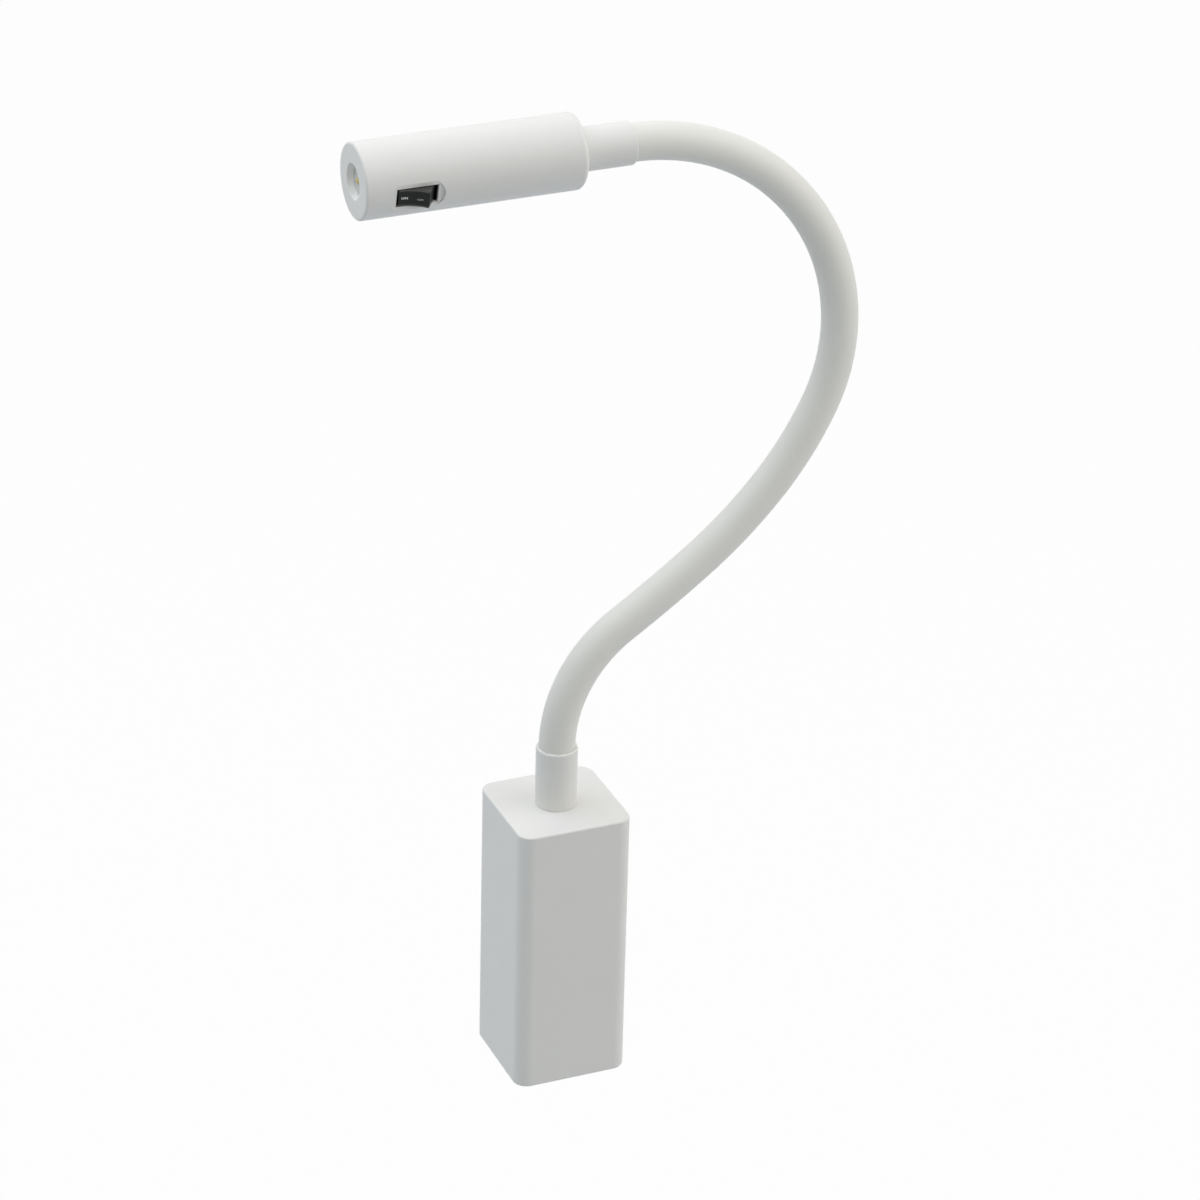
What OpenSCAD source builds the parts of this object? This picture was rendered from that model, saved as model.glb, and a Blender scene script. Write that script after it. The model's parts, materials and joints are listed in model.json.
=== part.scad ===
// Gooseneck wall light: a rounded box base on a wall bracket, a bendable neck in a smooth sleeve,
// and a turned spotlight head with a rocker switch in a milled flat.
// Millimetres. The wall is the plane y = 0, the room is towards -Y, +Z is up,
// and the origin is the middle of the wall bracket's back face.

/* [Base] */
// Width of the base, along the wall
base_w = 40; // [38:0.5:60]
// Depth of the base, out from the wall
base_d = 40; // [39:0.5:60]
// Height of the base
base_h = 97.5; // [90:0.5:140]
// Radius of the upright edges
base_corner = 5; // [4:0.5:8]
// Rounding of the rims at the top and the bottom
base_edge = 0.6; // [0.3:0.1:1.2]
// Wall thickness of the housing
base_wall = 2; // [1.6:0.1:3]
// Width of the rim left at each side of the open back
back_rim = 6; // [5:0.5:8]

/* [Wall bracket] */
// Thickness of the bracket's sheet steel
bracket_t = 1.5; // [1:0.1:2.5]
// Width of the bent tabs that carry the housing
tab_w = 20; // [12:1:24]
// Length of the bent tabs, from the wall
tab_len = 10; // [8:0.5:12]
// Inside radius of the bends
bend_r = 1; // [0.5:0.1:2]
// Diameter of the holes for the wall screws
wall_hole_d = 5; // [4:0.1:6]
// Distance between the two wall screws
wall_hole_pitch = 60; // [50:1:70]
// Diameter of the hole for the cable bush
cable_hole_d = 10; // [8:0.5:12]
// Bore of the cable bush
cable_bore_d = 7; // [5:0.5:8]
// Distance of the cable hole below the middle
cable_drop = 14; // [12:1:16]
// Flange of the cable bush, its thickness and its overlap
bush_flange = 1.5; // [1:0.1:2.5]
// Diameter of the locking screw under the base
lock_screw_d = 3; // [2.5:0.1:4]
// Length of the locking screw
lock_screw_len = 8; // [6:0.5:12]

/* [Wiring in the base] */
// Pitch of the three poles of the terminal block
pole_pitch = 8; // [7:0.5:9]
// Length of the terminal block, along its wires
block_len = 14; // [12:0.5:16]
// Height of the terminal block's foot
block_foot = 6; // [5:0.5:8]
// Height of the clamp housings above the foot
block_hump = 6; // [5:0.5:7]
// Gap between two clamp housings
hump_gap = 2.2; // [1.6:0.1:2.6]
// Height of the terminal block's lower end above the middle
block_z = 8; // [6:0.5:10]
// Diameter of the screws on the bracket
small_screw_d = 3; // [2.5:0.1:3.5]
// Diameter of the screws that clamp the wires
clamp_screw_d = 2.6; // [2:0.1:3]
// Distance of the wires' ends below the terminal block's middle
wire_stop = 3; // [2:0.5:4]
// Width of the driver
driver_w = 26; // [20:0.5:34]
// Depth of the driver
driver_d = 17; // [14:0.5:18]
// Height of the driver
driver_h = 56; // [46:0.5:60]
// Radius of the driver's upright edges
driver_corner = 2; // [1:0.5:4]
// Gap below the driver
driver_lift = 6; // [4:0.5:10]
// Diameter of the insulated leads
lead_d = 2; // [1.4:0.1:2.4]
// Distance of the leads into the driver below the terminal block
driver_in_drop = 9; // [8:0.5:12]
// Distance between the two leads in the driver's back
driver_lead_pitch = 6; // [4:0.5:8]
// Depth of the holes that the driver's leads come out of
lead_hole = 3; // [2:0.5:4]

/* [Neck] */
// Outside diameter of the sleeve
neck_d = 12.2; // [11:0.1:14]
// Wall thickness of the sleeve
sleeve_wall = 1; // [0.8:0.1:1.4]
// Wall thickness of the bending core
core_wall = 1.9; // [1.6:0.1:2.1]
// Gap between the core and the sleeve
core_gap = 0.3; // [0.2:0.05:0.4]
// Diameter of the cable in the neck
cable_d = 4; // [3:0.1:4.4]
// Distance between two bending points
neck_pitch = 32.5; // [30:0.1:36]
// Degrees that each stretch turns, positive towards -X, the first and last half a pitch long
neck_bends = [-18.5, -38, 4, 11.5, 15.5, 28.5, 26, 24.5, 25, 12]; // [-40:0.5:40]
// Largest turn of a bending point, in degrees
joint_turn = 22; // [10:1:22]

/* [Collars] */
// Wall thickness of a collar around the neck
collar_wall = 0.85; // [0.6:0.05:1.5]
// Height of the collar on the base
base_collar_h = 21.5; // [20:0.5:26]
// Length of the collar behind the head
head_collar_len = 18.4; // [18:0.1:24]
// Rounding of a collar's mouth
collar_round = 0.7; // [0.3:0.05:0.8]
// Rounding of a collar's foot
foot_round = 0.3; // [0.1:0.05:0.6]
// Length of the neck held inside a collar
neck_grip = 9; // [7:0.5:10]
// Outside diameter of the threaded nipples
nipple_d = 9.6; // [9:0.1:10]
// Length of a nipple's thread inside a collar
nipple_grip = 7; // [5:0.5:8]
// Length of the base nipple's thread below its nut
base_thread_end = 4; // [2:0.5:6]
// Length of the head nipple's thread beyond its nut
head_thread_end = 1.5; // [1:0.5:4]
// Room around the cable in a nipple's bore
cable_room = 1; // [0.5:0.1:1.2]
// Width across the flats of the hexagon nuts
nut_af = 13; // [12.5:0.1:14]
// Thickness of the hexagon nuts
nut_t = 3.5; // [3:0.1:5]
// Diameter of the washer under the top of the base
washer_d = 17; // [15:0.5:20]
// Thickness of that washer
washer_t = 1; // [0.6:0.1:1.5]

/* [Head] */
// Outside diameter of the head
head_d = 24.4; // [23.5:0.1:30]
// Length of the head
head_len = 73.2; // [66:0.1:100]
// Wall thickness of the head's shell
head_wall = 2.4; // [2:0.1:3]
// Thickness of the head's front wall
front_wall = 3; // [2.5:0.1:4]
// Diameter of the light opening
aperture_d = 11.6; // [9:0.1:13]
// Rounding of the front edge
front_round = 0.8; // [0.3:0.1:1.2]
// Rounding of the rear edge
rear_round = 1.8; // [0.8:0.1:2]
// Thickness of the cap in the rear end
end_cap_t = 5; // [4:0.5:8]
// Diameter of the lens
lens_d = 14; // [13.5:0.1:15]
// Depth of the lens's seat in the front wall
lens_seat = 0.7; // [0.5:0.1:1.4]
// Height of the lens's crown
lens_crown = 0.4; // [0.2:0.1:0.8]
// Distance between the lens's seat and the circuit board
optic_depth = 1.4; // [1:0.1:2]
// Thickness of the circuit board
board_t = 1.2; // [0.8:0.1:1.6]
// Gap between the lens and the chip, all round
chip_gap = 0.1; // [0.05:0.05:0.3]
// Diameter of the light-emitting chip
chip_d = 2.4; // [1.6:0.1:4]
// Height of the light-emitting chip, up to its dome
chip_t = 1.8; // [1:0.1:2]
// Height of the chip's dome
chip_dome = 0.9; // [0.3:0.1:1]
// Thickness of the heat sink behind the board
sink_t = 2.5; // [2:0.1:3]
// Diameter of the leads in the head
head_lead_d = 1.4; // [1:0.1:1.6]
// Distance of the leads' holes from the edge of the heat sink
lead_edge = 1.6; // [1.4:0.1:2.5]

/* [Switch] */
// Distance of the switch's middle behind the front face
switch_back = 16.8; // [16.4:0.1:24]
// Degrees that the switch looks down from level
switch_turn = 14.5; // [0:0.5:40]
// Length of the opening that the rocker looks out of
opening_l = 13.6; // [12.5:0.1:14]
// Width of that opening
opening_w = 6.5; // [6:0.1:7]
// Thickness of the lip that the head's shell keeps around the opening
lip_t = 1; // [0.8:0.05:1.2]
// Depth of the switch case behind the lip
case_depth = 8; // [7.5:0.1:9]
// Wall thickness of the switch case
case_wall = 0.6; // [0.5:0.05:0.7]
// Depth of the milled flat in the head's round
flat_depth = 0.9; // [0.7:0.05:1.4]
// Radius of the milling cutter that leaves the flat's round ends
mill_r = 5.3; // [5:0.1:6]
// Length of the flat beyond each end of the opening
flat_end = 2.1; // [1:0.1:3]
// Depth of the rocker's pivot under the flat
pivot_depth = 3.6; // [3.2:0.1:4]
// Height of the rocker's ends over its pivot
rocker_rise = 5.4; // [5:0.1:5.8]
// Dip of the rocker's hollow top
rocker_dip = 0.7; // [0.4:0.1:1]
// Degrees that the rocker leans each way from level
rocker_lean = 18; // [12:1:20]
// Gap between the end of the opening and the rocker's pressed end
rocker_gap = 0.6; // [0.5:0.05:0.8]
// Depth of the rocker's underside under its pivot
rocker_root = 2.2; // [1.8:0.1:2.6]
// Diameter of the rocker's pivot pins
pin_d = 1.6; // [1.2:0.1:2]
// Thickness of the switch case's floor
case_floor = 2; // [1:0.1:2.5]
// Length of the switch's terminals
terminal_len = 4; // [3:0.5:5]
// Width of the switch's terminals
terminal_w = 2; // [1.5:0.1:3]
// Thickness of the switch's terminals
terminal_t = 0.5; // [0.3:0.1:0.8]

/* [Fits] */
// Clearance of a loose fit, all round
loose = 0.2; // [0.1:0.05:0.3]
// Clearance of a close fit or a thread, all round
close = 0.05; // [0.03:0.01:0.1]
// Gap around the ball ends of the neck's stretches
ball_gap = 0.25; // [0.2:0.05:0.3]

/* [Hidden] */
$fn = 96;
over = 1;
white = [0.93, 0.93, 0.92];
steel = [0.70, 0.71, 0.72];
brass = [0.80, 0.66, 0.36];
black = [0.06, 0.06, 0.06];

inner_w = base_w - 2 * base_wall;
inner_d = base_d - 2 * base_wall;
inner_h = base_h - 2 * base_wall;
window_w = base_w - 2 * back_rim;
base_top = base_h / 2;
neck_y = -base_d / 2;
lock_y = -(bracket_t + tab_len) / 2;
lock_head_d = 2 * lock_screw_d;
block_w = 3 * pole_pitch;
block_y = -bracket_t - block_foot;
hump_w = pole_pitch - hump_gap;
wire_slack = 0.5;
wire_bore_r = lead_d / 2 + wire_slack;
wire_y = block_y - wire_bore_r - wire_slack;
wire_end = block_z + block_len / 2 - wire_stop;
clamp_proud = 0.5;
slot_w = 0.6;
slot_depth = 0.7;
driver_y = -base_d + base_wall + driver_d;
driver_z = -inner_h / 2 + driver_lift;
driver_top = driver_z + driver_h;
driver_in_z = block_z - driver_in_drop;
driver_out_y = driver_y - driver_d / 2;
lead_hole_r = lead_d / 2 + loose;
earth_z = (block_z - cable_drop) / 2;
eye_rim = 1.9;
eye_r = small_screw_d / 2 + eye_rim;
screw_head_t = 1.6;
narrow_rim = 0.25;
narrow_head_r = small_screw_d / 2 + narrow_rim;
lead_steps = 14;

neck_r = neck_d / 2;
sleeve_bore_r = neck_r - sleeve_wall;
core_r = sleeve_bore_r - core_gap;
core_bore_r = core_r - core_wall;
collar_bore_r = neck_r + close;
collar_r = collar_bore_r + collar_wall;
last = len(neck_bends) - 1;
grip_trim = 0.1;
ball_r = neck_r - grip_trim;
socket_r = neck_r + ball_gap;
cable_r = cable_d / 2;
cable_socket_r = cable_r + ball_gap;
ball_hole_r = ball_r * sin(joint_turn) + cable_r / cos(joint_turn) + loose;
core_clear = 0.8;
core_start = ball_r + core_clear;
core_stop = 1;
seam_lap = 0.6;
nipple_bore_d = cable_d + 2 * cable_room;
nipple_low = washer_t + nut_t + base_thread_end;
base_nipple_end = base_top - base_wall - nipple_low;
head_nipple_end = head_collar_len + end_cap_t + nut_t + head_thread_end;

head_r = head_d / 2;
head_bore_r = head_r - head_wall;
front_z = head_collar_len + head_len;
lens_z = front_z - front_wall + lens_seat;
board_z = lens_z - optic_depth;
sink_z = board_z - board_t;
wire_hole_x = head_bore_r - lead_edge;
switch_z = front_z - switch_back;
flat_h = head_r - flat_depth;
case_l = opening_l + 2 * case_wall;
case_w = opening_w + 2 * case_wall;
case_top = flat_h - lip_t - close;
case_foot = case_top - case_depth;
rocker_reach = (opening_l / 2 - rocker_gap) / cos(rocker_lean);
rocker_half = rocker_reach - rocker_rise * tan(rocker_lean);
rocker_w = opening_w - 2 * loose;
terminal_foot = case_foot - terminal_len;
terminal_places = [-case_l / 4, case_l / 4];
bracket_screw_places = [[-pole_pitch / 2, block_z + block_len / 2],
                        [pole_pitch / 2, block_z + block_len / 2],
                        [pole_pitch, earth_z]];
clamp_places = [for (pole = [-1:1], end = [0.25, 0.75]) [pole * pole_pitch, block_z + end * block_len]];

// Shapes that several pieces share

// Plan of a box with rounded corners, about its middle
module rounded_plan(w, d, r) {
    square([w - 2 * r, d], center = true);
    square([w, d - 2 * r], center = true);
    for (x = [-1, 1], y = [-1, 1])
        translate([x * (w / 2 - r), y * (d / 2 - r)]) circle(r);
}

// What is cut off a square corner at the origin, with the material towards -X and -Y, to round it
module corner_cut(e) {
    difference() {
        translate([-e, -e]) square(e + over);
        translate([-e, -e]) circle(e);
    }
}

// What is cut off the upper rim of a rounded box to round it; the rim lies at z = 0
module rim_cut(w, d, r, e) {
    for (side = [0, 1]) {
        rotate(180 * side) translate([w / 2 - r, d / 2, 0]) rotate([90, 0, -90])
            linear_extrude(w - 2 * r) mirror([1, 0]) corner_cut(e);
        rotate(180 * side) translate([w / 2, -d / 2 + r, 0]) rotate([90, 0, 180])
            mirror([1, 0, 0]) linear_extrude(d - 2 * r) corner_cut(e);
    }
    for (x = [0, 1], y = [0, 1])
        mirror([x, 0, 0]) mirror([0, y, 0]) translate([w / 2 - r, d / 2 - r, 0])
            rotate_extrude(angle = 90) translate([r, 0]) corner_cut(e);
}

// Half outline of a turned bar with rounded ends, from y = 0 to y = len
module turned_outline(r, len, e0, e1) {
    difference() {
        square([r, len]);
        translate([r, 0]) mirror([0, 1]) corner_cut(e0);
        translate([r, len]) corner_cut(e1);
    }
}

// A ring about Z
module ring(r_out, r_in, h) {
    difference() {
        cylinder(r = r_out, h = h);
        translate([0, 0, -over]) cylinder(r = r_in, h = h + 2 * over);
    }
}

// A hexagon nut about Z
module hex_nut(af, bore_r, h) {
    difference() {
        cylinder(d = af / cos(30), h = h, $fn = 6);
        translate([0, 0, -over]) cylinder(r = bore_r, h = h + 2 * over);
    }
}

// Points of a cubic curve that leaves a along da and comes back to b along db
function lead_path(a, da, b, db) =
    [for (i = [0:lead_steps]) let (t = i / lead_steps, s = 1 - t)
        s * s * s * a + 3 * s * s * t * (a + da) + 3 * s * t * t * (b + db) + t * t * t * b];

function unit(v) = v / norm(v);

// A round lead along a list of points that never runs along the direction side
module lead(points, d, side) {
    sides = 8;
    n = len(points);
    rings = [for (i = [0:n - 1])
        let (t = unit(points[min(i + 1, n - 1)] - points[max(i - 1, 0)]),
             u = unit(cross(t, side)),
             v = cross(t, u))
        for (k = [0:sides - 1])
            points[i] + d / 2 * (cos(360 * k / sides) * u + sin(360 * k / sides) * v)];
    walls = [for (i = [0:n - 2], k = [0:sides - 1])
        let (a = i * sides + k, b = i * sides + (k + 1) % sides)
        for (f = [[a, a + sides, b], [b, a + sides, b + sides]]) f];
    first = [for (k = [0:sides - 1]) k];
    final = [for (k = [0:sides - 1]) n * sides - 1 - k];
    polyhedron(rings, concat(walls, [first, final]));
}

// The neck's line: headings in degrees from +X towards +Z, and the starts of its stretches

function stretch_len(i) = (i == 0 || i == last) ? neck_pitch / 2 : neck_pitch;
function heading(i) = i == 0 ? 90 : heading(i - 1) + neck_bends[i - 1];
function chord(i) =
    let (a = heading(i), b = neck_bends[i], r = stretch_len(i) / (b * PI / 180))
    b == 0 ? stretch_len(i) * [cos(a), 0, sin(a)]
           : r * [sin(a + b) - sin(a), 0, cos(a) - cos(a + b)];
function neck_start(i) =
    i == 0 ? [0, neck_y, base_top + base_collar_h] : neck_start(i - 1) + chord(i - 1);

// Puts a piece at the start of stretch i, with +Z along the neck and +X on the outside of a left turn
module at_stretch(i) {
    translate(neck_start(i)) rotate([0, 90 - heading(i), 0]) children();
}

// Puts a piece at the neck's end, where the head's collar begins
module at_head() {
    at_stretch(last + 1) children();
}

// Carries the outline below along stretch i, from a distance after its start to one before its end
module along_stretch(i, from, to) {
    whole = stretch_len(i);
    turn = abs(neck_bends[i]);
    if (turn == 0) {
        translate([0, 0, from]) linear_extrude(whole - from - to) children();
    } else {
        r = whole / (turn * PI / 180);
        rotate([0, 0, neck_bends[i] < 0 ? 180 : 0]) translate([-r, 0, 0]) rotate([90, 0, 0])
            rotate([0, 0, turn * from / whole])
            rotate_extrude(angle = turn * (whole - from - to) / whole) translate([r, 0]) children();
    }
}

// Goes from the start of stretch i to its end
module stretch_end(i) {
    translate([norm(chord(i)) * sin(-neck_bends[i] / 2), 0, norm(chord(i)) * cos(neck_bends[i] / 2)])
        rotate([0, -neck_bends[i], 0]) children();
}

module ring_outline(r_out, r_in) {
    difference() {
        circle(r_out);
        circle(r_in);
    }
}

// Base

module base_housing() color(white) translate([0, neck_y, 0]) difference() {
    translate([0, 0, -base_h / 2]) linear_extrude(base_h) rounded_plan(base_w, base_d, base_corner);
    translate([0, 0, -inner_h / 2]) linear_extrude(inner_h)
        rounded_plan(inner_w, inner_d, base_corner - base_wall);
    translate([-window_w / 2, inner_d / 2 - over, -inner_h / 2])
        cube([window_w, base_wall + 2 * over, inner_h]);
    translate([0, 0, base_top]) rim_cut(base_w, base_d, base_corner, base_edge);
    mirror([0, 0, 1]) translate([0, 0, base_top]) rim_cut(base_w, base_d, base_corner, base_edge);
    translate([0, 0, inner_h / 2 - over]) cylinder(r = nipple_d / 2 + loose, h = base_wall + 2 * over);
    translate([0, lock_y - neck_y, -base_top]) lock_screw_space();
}

// Room for the locking screw's shank and its countersunk head
module lock_screw_space() {
    translate([0, 0, -over]) cylinder(r = lock_screw_d / 2 + loose, h = base_wall + 2 * over);
    rotate_extrude() lock_head_outline(loose / 2);
}

module lock_head_outline(gap) {
    r = lock_head_d / 2 + gap;
    polygon([[0, 0], [r, 0], [0, r]]);
}

module wall_bracket() color(steel) difference() {
    union() {
        translate([-window_w / 2 + loose, -bracket_t, -inner_h / 2 + loose])
            cube([window_w - 2 * loose, bracket_t, inner_h - 2 * loose]);
        for (end = [0, 1]) mirror([0, 0, end]) bracket_tab();
    }
    for (end = [-1, 1])
        translate([0, over, end * wall_hole_pitch / 2]) rotate([90, 0, 0])
            cylinder(d = wall_hole_d, h = bracket_t + 2 * over);
    translate([0, over, -cable_drop]) rotate([90, 0, 0]) cylinder(d = cable_hole_d, h = bracket_t + 2 * over);
    for (p = bracket_screw_places)
        translate([p[0], over, p[1]]) rotate([90, 0, 0])
            cylinder(r = small_screw_d / 2 + close, h = bracket_t + 2 * over);
    translate([0, lock_y, -inner_h / 2 - over])
        cylinder(r = lock_screw_d / 2 + close, h = bracket_t + 2 * over);
}

// The upper tab, bent out of the sheet with a rounded inner corner
module bracket_tab() {
    z = inner_h / 2 - loose - bracket_t;
    translate([-tab_w / 2, -tab_len, z]) cube([tab_w, tab_len, bracket_t]);
    translate([-tab_w / 2, -bracket_t, z]) rotate([90, 0, 90]) linear_extrude(tab_w)
        difference() {
            translate([-bend_r, -bend_r]) square(bend_r + bracket_t / 2);
            translate([-bend_r, -bend_r]) circle(bend_r);
        }
}

module lock_screw() color(steel) translate([0, lock_y, -base_top]) {
    rotate_extrude() lock_head_outline(0);
    cylinder(d = lock_screw_d, h = lock_screw_len);
}

module cable_bush() color(black) translate([0, 0, -cable_drop]) rotate([90, 0, 0]) rotate_extrude()
    difference() {
        union() {
            translate([0, loose]) square([cable_hole_d / 2 - close, bracket_t]);
            translate([0, bracket_t]) square([cable_hole_d / 2 + bush_flange, bush_flange]);
        }
        translate([0, -over]) square([cable_bore_d / 2, bracket_t + bush_flange + 2 * over]);
    }

module terminal_block() color(white) difference() {
    union() {
        translate([-block_w / 2, block_y, block_z]) cube([block_w, block_foot, block_len]);
        for (pole = [-1:1])
            translate([pole * pole_pitch - hump_w / 2, block_y - block_hump, block_z])
                cube([hump_w, block_hump + over, block_len]);
    }
    for (pole = [-1:1]) translate([pole * pole_pitch, wire_y, block_z - over])
        cylinder(r = wire_bore_r, h = block_len + 2 * over);
    for (p = clamp_places) translate([p[0], wire_y, p[1]]) rotate([90, 0, 0])
        cylinder(r = clamp_screw_d / 2 + close, h = block_hump + over);
    for (i = [0, 1], p = [bracket_screw_places[i]]) translate([p[0], 0, p[1]]) rotate([90, 0, 0]) {
        cylinder(r = small_screw_d / 2 + close, h = block_foot + bracket_t + over);
        translate([0, 0, -block_y]) cylinder(r = narrow_head_r + loose, h = block_hump + over);
    }
}

// Slotted screws that clamp the wires, seen from the room
module terminal_screws() color(brass) for (p = clamp_places)
    translate([p[0], block_y - block_hump - clamp_proud, p[1]]) rotate([-90, 0, 0]) difference() {
        cylinder(d = clamp_screw_d, h = clamp_proud + block_hump - (block_y - wire_y) - wire_bore_r);
        screw_slot(clamp_screw_d);
    }

// The slot in a screw's head, which lies at z = 0 with the screw above it
module screw_slot(d) {
    translate([-d, -slot_w / 2, -over]) cube([2 * d, slot_w, over + slot_depth]);
}

// Cheese-head screws: two with narrow heads hold the terminal block, one the earth lead
module bracket_screws() color(steel) {
    for (i = [0, 1]) bracket_screw(bracket_screw_places[i], bracket_t + block_foot, narrow_head_r);
    bracket_screw(bracket_screw_places[2], bracket_t + lead_d, small_screw_d);
}

module bracket_screw(place, seat, head_r)
    translate([place[0], -seat - screw_head_t, place[1]]) rotate([-90, 0, 0]) difference() {
        union() {
            cylinder(d = small_screw_d, h = seat + screw_head_t - loose);
            cylinder(r = head_r, h = screw_head_t);
        }
        screw_slot(head_r);
    }

module led_driver() color([0.85, 0.85, 0.83]) difference() {
    translate([0, driver_out_y, driver_z]) linear_extrude(driver_h)
        rounded_plan(driver_w, driver_d, driver_corner);
    for (pole = [-1, 0]) translate([pole * driver_lead_pitch, driver_y + over, driver_in_z])
        rotate([90, 0, 0]) cylinder(r = lead_hole_r, h = lead_hole + over);
    translate([0, driver_out_y, driver_top - lead_hole]) cylinder(r = lead_hole_r, h = lead_hole + over);
}

// A lead from a pole of the terminal block into the driver's back
module mains_lead(pole) {
    drop = [0, 0, -12];
    turn = [0, 8, 0];
    foot = [pole * driver_lead_pitch, driver_y, driver_in_z];
    path = lead_path([pole * pole_pitch, wire_y, wire_end], drop, foot, turn);
    lead(concat(path, [foot - [0, lead_hole - loose, 0]]), lead_d, [1, 0, 0]);
}

module live_lead() color([0.45, 0.25, 0.12]) mains_lead(-1);

module neutral_lead() color([0.15, 0.35, 0.75]) mains_lead(0);

// The earth lead runs to an eye under its screw on the bracket
module earth_lead() color([0.35, 0.6, 0.2]) {
    drop = [0, 0, -9];
    rise = [0, 0, 6];
    eye_mid = -bracket_t - lead_d / 2;
    eye_top = [pole_pitch, eye_mid, earth_z + small_screw_d];
    lead(lead_path([pole_pitch, wire_y, wire_end], drop, eye_top, rise), lead_d - 2 * loose, [1, 0, 0]);
    translate([pole_pitch, -bracket_t, earth_z]) rotate([90, 0, 0])
        ring(eye_r, small_screw_d / 2 + close, lead_d - loose);
}

// The driver's lead to the cable of the neck
module output_lead() color([0.9, 0.9, 0.9]) {
    rise = [0, 0, 8];
    foot = [0, driver_out_y, driver_top];
    path = lead_path(foot, rise, [0, neck_y, base_nipple_end - loose], -rise);
    lead(concat([foot - [0, 0, lead_hole - loose]], path), lead_d, [1, 0, 0]);
}

// A collar on the z = 0 plane: a threaded nipple below, the neck's end above
module collar(h) rotate_extrude() difference() {
    turned_outline(collar_r, h, foot_round, collar_round);
    translate([0, -over]) square([nipple_d / 2 + close, nipple_grip + close + over]);
    translate([0, -over]) square([nipple_bore_d / 2, h + 2 * over]);
    translate([0, h - neck_grip - close]) square([collar_bore_r, neck_grip + over]);
}

module base_collar() color(white) translate([0, neck_y, base_top]) collar(base_collar_h);

module base_nipple() color(brass) translate([0, neck_y, base_nipple_end])
    ring(nipple_d / 2, nipple_bore_d / 2, nipple_low + base_wall + nipple_grip);

module base_washer() color(steel) translate([0, neck_y, inner_h / 2 - washer_t])
    ring(washer_d / 2, nipple_d / 2 + loose, washer_t);

module base_nut() color(steel) translate([0, neck_y, inner_h / 2 - washer_t - nut_t])
    hex_nut(nut_af, nipple_d / 2 + close, nut_t);

// Neck: each stretch ends in a ball about its bending point, and the next begins with a hollow for it

module neck_sleeve(i) color(white) {
    at_stretch(i) difference() {
        union() {
            along_stretch(i, 0, 0) ring_outline(neck_r, sleeve_bore_r);
            if (i < last) stretch_end(i) sleeve_ball();
            if (i == 0) neck_tail() ring_outline(neck_r - grip_trim, sleeve_bore_r + grip_trim);
            if (i == last) stretch_end(i) rotate([180, 0, 0]) neck_tail()
                ring_outline(neck_r - grip_trim, sleeve_bore_r + grip_trim);
        }
        if (i > 0) sphere(socket_r);
    }
}

module sleeve_ball() rotate_extrude() intersection() {
    ring_outline(ball_r, sleeve_bore_r - loose);
    translate([ball_hole_r, -seam_lap]) square(2 * neck_r);
}

// The straight end that a collar holds, below z = 0
module neck_tail() {
    translate([0, 0, -neck_grip]) linear_extrude(neck_grip + seam_lap) children();
}

module neck_core(i) color(steel) at_stretch(i) {
    along_stretch(i, i > 0 ? core_start : 0, i < last ? core_stop : 0)
        ring_outline(core_r, core_bore_r);
    if (i == 0) neck_tail() ring_outline(core_r - grip_trim, core_bore_r + grip_trim);
    if (i == last) stretch_end(i) rotate([180, 0, 0]) neck_tail()
        ring_outline(core_r - grip_trim, core_bore_r + grip_trim);
}

module neck_cable(i) color([0.9, 0.9, 0.9]) at_stretch(i) difference() {
    union() {
        along_stretch(i, 0, 0) circle(cable_r);
        if (i < last) stretch_end(i) sphere(cable_r - grip_trim);
        if (i == 0) translate([0, 0, base_nipple_end - base_top - base_collar_h])
            cylinder(r = cable_r - grip_trim, h = base_top + base_collar_h - base_nipple_end + seam_lap);
        if (i == last) stretch_end(i) translate([0, 0, -seam_lap])
            cylinder(r = cable_r - grip_trim, h = head_nipple_end + seam_lap);
    }
    if (i > 0) sphere(cable_socket_r);
}

// Head, along +Z from the mouth of its collar

module head_collar() color(white) at_head() translate([0, 0, head_collar_len]) mirror([0, 0, 1])
    collar(head_collar_len);

module head_nipple() color(brass) at_head() translate([0, 0, head_collar_len - nipple_grip])
    ring(nipple_d / 2, nipple_bore_d / 2, head_nipple_end - head_collar_len + nipple_grip);

module head_nut() color(steel) at_head() translate([0, 0, head_collar_len + end_cap_t])
    hex_nut(nut_af, nipple_d / 2 + close, nut_t);

module head_end_cap() color(white) at_head() translate([0, 0, head_collar_len])
    ring(head_bore_r - close, nipple_d / 2 + close, end_cap_t);

module head_shell() color(white) at_head() difference() {
    translate([0, 0, head_collar_len]) rotate_extrude() difference() {
        turned_outline(head_r, head_len, rear_round, front_round);
        translate([0, -over]) square([head_bore_r, head_len - front_wall + over]);
        square([lens_d / 2 + close, head_len - front_wall + lens_seat]);
        square([aperture_d / 2, head_len + over]);
    }
    at_switch() {
        translate([0, 0, flat_h]) linear_extrude(head_r) flat_outline();
        linear_extrude(flat_h - lip_t) square([case_w + 2 * close, case_l + 2 * close], center = true);
        linear_extrude(head_r) square([opening_w, opening_l], center = true);
    }
}

// Puts a piece at the switch: +Z out of the flat, +Y towards the head's front, origin on the head's axis
module at_switch() {
    translate([0, 0, switch_z]) rotate([0, 0, -switch_turn]) rotate([90, 0, 0]) children();
}

// The path of the milling cutter
module flat_outline() {
    reach = opening_l / 2 + flat_end - mill_r;
    square([2 * mill_r, 2 * reach], center = true);
    for (end = [-1, 1]) translate([0, end * reach]) circle(mill_r);
}

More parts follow.
